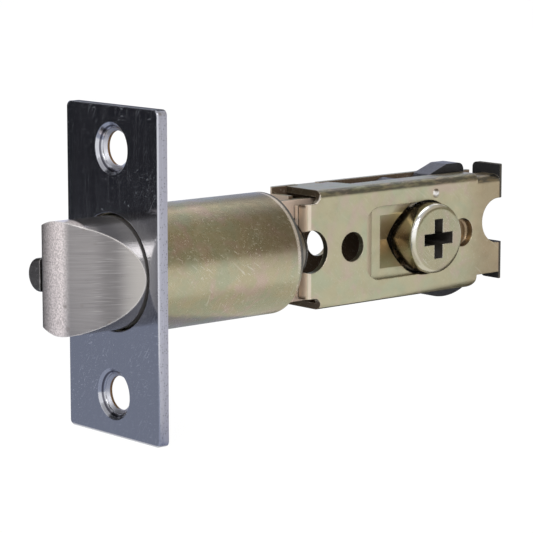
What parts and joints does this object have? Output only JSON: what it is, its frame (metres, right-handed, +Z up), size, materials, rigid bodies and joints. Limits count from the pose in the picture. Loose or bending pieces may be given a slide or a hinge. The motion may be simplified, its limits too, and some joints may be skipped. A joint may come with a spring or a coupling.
{
  "type": "deadlatch",
  "caption": "Tubular deadlatch: bevelled sprung bolt with a deadlock plunger behind an oblong faceplate, plated barrel, folded case and a turning hub with a cross-shaped socket.",
  "frame": {"origin": "on the latch axis, at the front face of the faceplate", "axes": "+X into the door, +Z up, the bolt points to -X and its bevel faces -Y"},
  "size_m": [0.1021, 0.0254, 0.0572],
  "materials": {
    "satin_steel": "satin, fine random scratches",
    "plate_steel": "sheared edge, satin",
    "bolt_steel": "brushed lengthways",
    "plunger_steel": "satin, dark",
    "gold_chromate": "yellow chromate plating with faint iridescence",
    "hub_chromate": "yellow chromate plating on a turned hub",
    "dark_cam": "dark sintered metal",
    "turned_zinc": "turned zinc",
    "plain_steel": "plain, lightly oiled",
    "spring_wire": "drawn wire"
  },
  "bodies": {
    "frame": {"faceplate": "satin_steel", "backing_plate": "plate_steel", "barrel_tube": "gold_chromate", "barrel_end_plug": "turned_zinc", "plug_pin": "plain_steel", "case_body": "gold_chromate", "case_cover": "gold_chromate", "bolt_spring": "spring_wire", "plunger_spring": "spring_wire", "pawl_pin": "plain_steel", "pawl_spring": "spring_wire"},
    "bolt": {"latch_bolt": "bolt_steel", "drawbar_yoke": "plain_steel", "yoke_pin": "plain_steel", "drive_pin": "plain_steel"},
    "hub": {"drive_hub": "hub_chromate", "hub_retaining_ring": "plain_steel", "retractor_cam": "dark_cam"},
    "plunger": {"deadlock_plunger": "plunger_steel"},
    "pawl": {"deadlock_pawl": "plain_steel"}
  },
  "joints": [
    {"name": "bolt_slide", "type": "slide", "parent": "frame", "child": "bolt", "axis": [1, 0, 0], "range_m": [0, 0.0115], "stiffness_N_per_m": 300, "springref_m": -0.012, "deforming": ["bolt_spring"]},
    {"name": "hub_turn", "type": "hinge", "parent": "frame", "child": "hub", "pos_m": [0.07, 0, 0], "axis": [0, 1, 0], "range_deg": [0, 74.27]},
    {"name": "plunger_slide", "type": "slide", "parent": "frame", "child": "plunger", "axis": [1, 0, 0], "range_m": [0, 0.0105], "stiffness_N_per_m": 100, "springref_m": -0.008, "deforming": ["plunger_spring"]},
    {"name": "pawl_drop", "type": "hinge", "parent": "frame", "child": "pawl", "pos_m": [0.02, 0.0074, 0.0039], "axis": [0, 0, 1], "range_deg": [0, 30.05]}
  ],
  "couplings": [
    {"joint": "hub_turn", "follows": "bolt_slide", "rad_per_m": 112.64},
    {"joint": "pawl_drop", "follows": "plunger_slide", "rad_per_m": 49.867}
  ]
}
